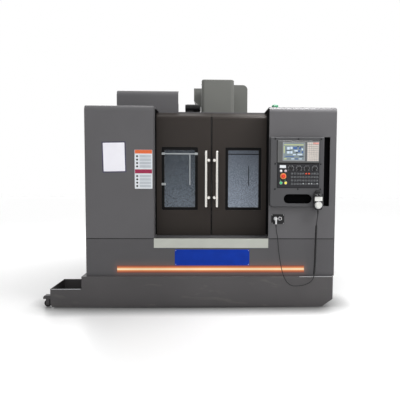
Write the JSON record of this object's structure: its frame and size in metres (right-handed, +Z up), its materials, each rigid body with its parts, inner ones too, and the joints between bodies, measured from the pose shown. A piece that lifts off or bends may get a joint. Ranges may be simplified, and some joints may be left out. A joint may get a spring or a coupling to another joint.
{
  "type": "cnc machining center",
  "caption": "Vertical machining centre with a full sheet-metal guard, two sliding windowed doors, operator's panel with a corded handwheel pendant, disc tool changer and pull-out coolant tank.",
  "frame": {"origin": "middle of the footprint, on the floor", "axes": "+X to the operator's right, +Y from the operator to the back, +Z up"},
  "size_m": [2.938, 2.5644, 2.503],
  "materials": {
    "machine_casting": "painted casting, pale grey",
    "ground_iron": "ground cast iron",
    "guard_grey": "fine textured powder coat, dark grey",
    "door_dark": "fine textured powder coat, very dark brown-grey",
    "tank_grey": "textured powder coat, dark grey",
    "cover_grey": "smooth paint, middle grey",
    "stainless": "brushed stainless steel",
    "screw_steel": "ground steel, oiled",
    "window_glass": "laminated safety glass, slightly blue",
    "motor_black": "black enamel",
    "box_grey": "fine textured powder coat, very dark grey",
    "panel_black": "black film over sheet",
    "display_grey": "dark grey moulded plastic",
    "light_diffuser": "warm white diffuser",
    "lamp_green": "clear green lens",
    "stop_red": "red",
    "start_green": "green",
    "hold_yellow": "yellow",
    "knob_black": "black moulded plastic",
    "dial_white": "white moulded plastic",
    "cord_black": "black cable jacket",
    "plug_metal": "nickel-plated, satin",
    "wheel_black": "solid black tread"
  },
  "bodies": {
    "machine": {"bed": "machine_casting", "levelling_feet": "screw_steel", "column": "machine_casting", "axis_motors": "motor_black", "magazine_cover": "guard_grey", "changer_box": "machine_casting", "changer_motor": "motor_black", "column_cover": "guard_grey", "electrical_cabinet": "guard_grey", "left_housing": "guard_grey", "right_housing": "guard_grey", "lower_guard": "guard_grey", "enclosure_panels": "guard_grey", "chip_pan": "stainless", "sill_plate": "stainless", "light_bar": "light_diffuser", "signal_lamp": "lamp_green", "control_box": "box_grey", "display_unit": "display_grey", "key_panel": "panel_black", "connector_panel": "panel_black", "cord_plug": "plug_metal", "pendant_holder": "panel_black", "pendant_body": "knob_black", "pendant_cord": "cord_black", "pendant_coil": "cord_black"},
    "left_door": {"left_door": "door_dark", "left_window": "window_glass", "left_handle": "stainless"},
    "right_door": {"right_door": "door_dark", "right_window": "window_glass", "right_handle": "stainless"},
    "saddle": {"saddle": "machine_casting", "x_axis_motor": "motor_black"},
    "table": {"table": "ground_iron"},
    "x_screw": {"x_screw": "screw_steel"},
    "y_screw": {"y_screw": "screw_steel"},
    "z_screw": {"z_screw": "screw_steel"},
    "way_cover_front": {"way_cover_front": "stainless"},
    "way_cover_middle": {"way_cover_middle": "stainless"},
    "head": {"spindle_head": "machine_casting", "head_cover": "cover_grey"},
    "spindle": {"spindle": "screw_steel"},
    "tool_disc": {"tool_disc": "screw_steel"},
    "arm_sleeve": {"arm_sleeve": "screw_steel"},
    "change_arm": {"change_arm": "screw_steel"},
    "tank": {"coolant_tank": "tank_grey"},
    "tank_wheels_left": {"tank_wheels_left": "wheel_black"},
    "tank_wheels_right": {"tank_wheels_right": "wheel_black"},
    "cabinet_door": {"cabinet_door": "guard_grey"},
    "emergency_stop": {"emergency_stop": "stop_red"},
    "start_button": {"start_button": "start_green"},
    "hold_button": {"hold_button": "hold_yellow"},
    "knob_1": {"knob_1": "knob_black"},
    "knob_2": {"knob_2": "knob_black"},
    "knob_3": {"knob_3": "knob_black"},
    "knob_4": {"knob_4": "knob_black"},
    "pendant_wheel": {"pendant_wheel": "dial_white"},
    "pendant_axis_knob": {"pendant_axis_knob": "knob_black"},
    "pendant_step_knob": {"pendant_step_knob": "knob_black"}
  },
  "joints": [
    {"name": "left_door_slide", "type": "slide", "parent": "machine", "child": "left_door", "axis": [-1, 0, 0], "range_m": [0, 0.48]},
    {"name": "right_door_slide", "type": "slide", "parent": "machine", "child": "right_door", "axis": [1, 0, 0], "range_m": [0, 0.48]},
    {"name": "saddle_slide", "type": "slide", "parent": "machine", "child": "saddle", "axis": [0, 1, 0], "range_m": [-0.25, 0.25]},
    {"name": "table_slide", "type": "slide", "parent": "saddle", "child": "table", "axis": [1, 0, 0], "range_m": [-0.4, 0.4]},
    {"name": "head_slide", "type": "slide", "parent": "machine", "child": "head", "axis": [0, 0, 1], "range_m": [-0.5, 0]},
    {"name": "y_screw_turn", "type": "hinge", "parent": "machine", "child": "y_screw", "pos_m": [0.284, -0.19985, 0.57], "axis": [0, 1, 0], "continuous": true},
    {"name": "x_screw_turn", "type": "hinge", "parent": "saddle", "child": "x_screw", "pos_m": [0.284, -0.19985, 0.758], "axis": [1, 0, 0], "continuous": true},
    {"name": "z_screw_turn", "type": "hinge", "parent": "machine", "child": "z_screw", "pos_m": [0.284, 0.37515, 1.5], "axis": [0, 0, 1], "continuous": true},
    {"name": "way_cover_front_slide", "type": "slide", "parent": "machine", "child": "way_cover_front", "axis": [0, 1, 0], "range_m": [-0.08333, 0.08333]},
    {"name": "way_cover_middle_slide", "type": "slide", "parent": "machine", "child": "way_cover_middle", "axis": [0, 1, 0], "range_m": [-0.16667, 0.16667]},
    {"name": "spindle_turn", "type": "hinge", "parent": "head", "child": "spindle", "pos_m": [0.284, -0.19985, 1.5], "axis": [0, 0, 1], "continuous": true},
    {"name": "tool_disc_turn", "type": "hinge", "parent": "machine", "child": "tool_disc", "pos_m": [-0.231, -0.19985, 1.88], "axis": [1, 0, 0], "continuous": true},
    {"name": "arm_lift", "type": "slide", "parent": "machine", "child": "arm_sleeve", "axis": [0, 0, 1], "range_m": [-0.11, 0]},
    {"name": "arm_turn", "type": "hinge", "parent": "arm_sleeve", "child": "change_arm", "pos_m": [-0.046, -0.19985, 1.445], "axis": [0, 0, 1], "range_deg": [0, 180]},
    {"name": "tank_pull_out", "type": "slide", "parent": "machine", "child": "tank", "axis": [-1, 0, 0], "range_m": [0, 0.85]},
    {"name": "left_wheels_roll", "type": "hinge", "parent": "tank", "child": "tank_wheels_left", "pos_m": [-1.429, -1.14985, 0.036], "axis": [0, 1, 0], "continuous": true},
    {"name": "right_wheels_roll", "type": "hinge", "parent": "tank", "child": "tank_wheels_right", "pos_m": [1.263, -1.14985, 0.036], "axis": [0, 1, 0], "continuous": true},
    {"name": "cabinet_door_swing", "type": "hinge", "parent": "machine", "child": "cabinet_door", "pos_m": [0.705, 1.25615, 0.38], "axis": [0, 0, -1], "range_deg": [0, 110]},
    {"name": "emergency_stop_press", "type": "slide", "parent": "machine", "child": "emergency_stop", "axis": [0, 1, 0], "range_m": [0, 0.005], "stiffness_N_per_m": 800},
    {"name": "start_press", "type": "slide", "parent": "machine", "child": "start_button", "axis": [0, 1, 0], "range_m": [0, 0.004], "stiffness_N_per_m": 500},
    {"name": "hold_press", "type": "slide", "parent": "machine", "child": "hold_button", "axis": [0, 1, 0], "range_m": [0, 0.004], "stiffness_N_per_m": 500},
    {"name": "knob_1_turn", "type": "hinge", "parent": "machine", "child": "knob_1", "pos_m": [1.007, -1.19685, 1.409], "axis": [0, 1, 0], "range_deg": [-135, 135]},
    {"name": "knob_2_turn", "type": "hinge", "parent": "machine", "child": "knob_2", "pos_m": [1.086, -1.19685, 1.409], "axis": [0, 1, 0], "range_deg": [-120, 120]},
    {"name": "knob_3_turn", "type": "hinge", "parent": "machine", "child": "knob_3", "pos_m": [1.165, -1.19685, 1.409], "axis": [0, 1, 0], "range_deg": [-120, 120]},
    {"name": "knob_4_turn", "type": "hinge", "parent": "machine", "child": "knob_4", "pos_m": [1.244, -1.19685, 1.409], "axis": [0, 1, 0], "range_deg": [-60, 60]},
    {"name": "pendant_wheel_turn", "type": "hinge", "parent": "machine", "child": "pendant_wheel", "pos_m": [1.274, -1.25885, 1.048], "axis": [0, 1, 0], "continuous": true},
    {"name": "pendant_axis_turn", "type": "hinge", "parent": "machine", "child": "pendant_axis_knob", "pos_m": [1.257, -1.25885, 1.141], "axis": [0, 1, 0], "range_deg": [-90, 90]},
    {"name": "pendant_step_turn", "type": "hinge", "parent": "machine", "child": "pendant_step_knob", "pos_m": [1.291, -1.25885, 1.141], "axis": [0, 1, 0], "range_deg": [-60, 60]}
  ],
  "couplings": [
    {"joint": "y_screw_turn", "follows": "saddle_slide", "rad_per_m": 628.32},
    {"joint": "x_screw_turn", "follows": "table_slide", "rad_per_m": 628.32},
    {"joint": "z_screw_turn", "follows": "head_slide", "rad_per_m": 628.32},
    {"joint": "way_cover_front_slide", "follows": "saddle_slide", "ratio": 0.33333},
    {"joint": "way_cover_middle_slide", "follows": "saddle_slide", "ratio": 0.66667},
    {"joint": "left_wheels_roll", "follows": "tank_pull_out", "rad_per_m": -27.778},
    {"joint": "right_wheels_roll", "follows": "tank_pull_out", "rad_per_m": -27.778}
  ]
}
